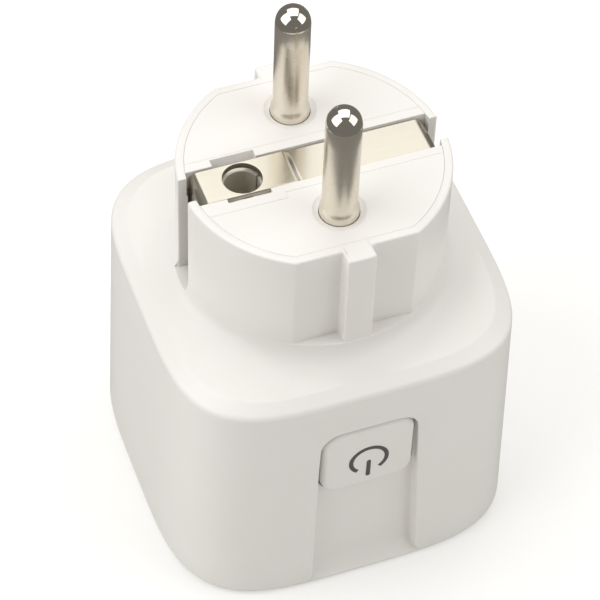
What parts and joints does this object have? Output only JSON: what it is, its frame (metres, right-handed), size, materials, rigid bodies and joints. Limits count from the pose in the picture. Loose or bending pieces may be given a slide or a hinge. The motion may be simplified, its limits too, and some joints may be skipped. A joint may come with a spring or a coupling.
{
  "type": "smart plug",
  "caption": "Square-bodied plug-through switch with a round earthed mains plug on one end, a recessed socket on the other and a push button on its side.",
  "frame": {"origin": "centre of the socket face, at the bottom of the body", "axes": "+Z towards the plug's pins, pins spaced along Y, earth strap along X, power button on the -Y side"},
  "size_m": [0.052, 0.0519, 0.0795],
  "materials": {
    "white_housing": "satin moulded",
    "white_carrier": "satin moulded",
    "white_button": "satin moulded",
    "white_socket": "satin moulded",
    "shutter_plastic": "moulded",
    "cover_plastic": "moulded",
    "nickel_pin": "polished nickel plate",
    "nickel_strap": "nickel plated sheet",
    "brass_contact": "stamped",
    "spring_steel": "drawn wire",
    "screw_steel": "zinc plated",
    "shield_tin": "tin plated",
    "board_laminate": "solder mask",
    "module_laminate": "solder mask",
    "black_plastic": "moulded",
    "plunger_plastic": "moulded",
    "relay_case": "moulded",
    "capacitor_sleeve": "shrunk sleeve",
    "film_case": "moulded",
    "varistor_coating": "epoxy dipped",
    "resistor_body": "lacquered",
    "ferrite": "sintered",
    "led_lens": "clear resin"
  },
  "bodies": {
    "body": {"housing": "white_housing", "pin_carrier": "white_carrier", "live_pin": "nickel_pin", "neutral_pin": "nickel_pin", "earth_strap": "nickel_strap", "earth_pin_sleeve": "nickel_strap", "earth_riser": "brass_contact", "tact_switch": "black_plastic", "socket_cup": "white_socket", "shutter_spring": "spring_steel", "shutter_cover": "cover_plastic", "live_contact": "brass_contact", "neutral_contact": "brass_contact", "socket_earth_bracket": "brass_contact", "power_board": "board_laminate", "control_board": "board_laminate", "relay": "relay_case", "bulk_capacitor": "capacitor_sleeve", "output_capacitor": "capacitor_sleeve", "film_capacitor": "film_case", "varistor": "varistor_coating", "power_inductor": "ferrite", "fuse_resistor": "resistor_body", "power_converter_chip": "black_plastic", "bridge_rectifier": "black_plastic", "radio_module": "module_laminate", "radio_shield": "shield_tin", "board_header": "black_plastic", "indicator_led": "led_lens", "live_busbar": "brass_contact", "neutral_busbar": "brass_contact", "case_screw_1": "screw_steel", "case_screw_2": "screw_steel", "case_screw_3": "screw_steel", "case_screw_4": "screw_steel", "board_screw_1": "screw_steel", "board_screw_2": "screw_steel"},
    "power_button": {"power_button": "white_button"},
    "tact_plunger": {"tact_plunger": "plunger_plastic"},
    "shutter": {"shutter": "shutter_plastic"}
  },
  "joints": [
    {"name": "button_press", "type": "slide", "parent": "body", "child": "power_button", "axis": [0, 1, 0], "range_m": [0, 0.00035], "stiffness_N_per_m": 2000},
    {"name": "plunger_press", "type": "slide", "parent": "body", "child": "tact_plunger", "axis": [0, 1, 0], "range_m": [0, 0.00035]},
    {"name": "shutter_slide", "type": "slide", "parent": "body", "child": "shutter", "axis": [1, 0, 0], "range_m": [0, 0.0066], "stiffness_N_per_m": 150, "deforming": ["shutter_spring"]}
  ],
  "couplings": [
    {"joint": "plunger_press", "follows": "button_press", "ratio": 1}
  ]
}
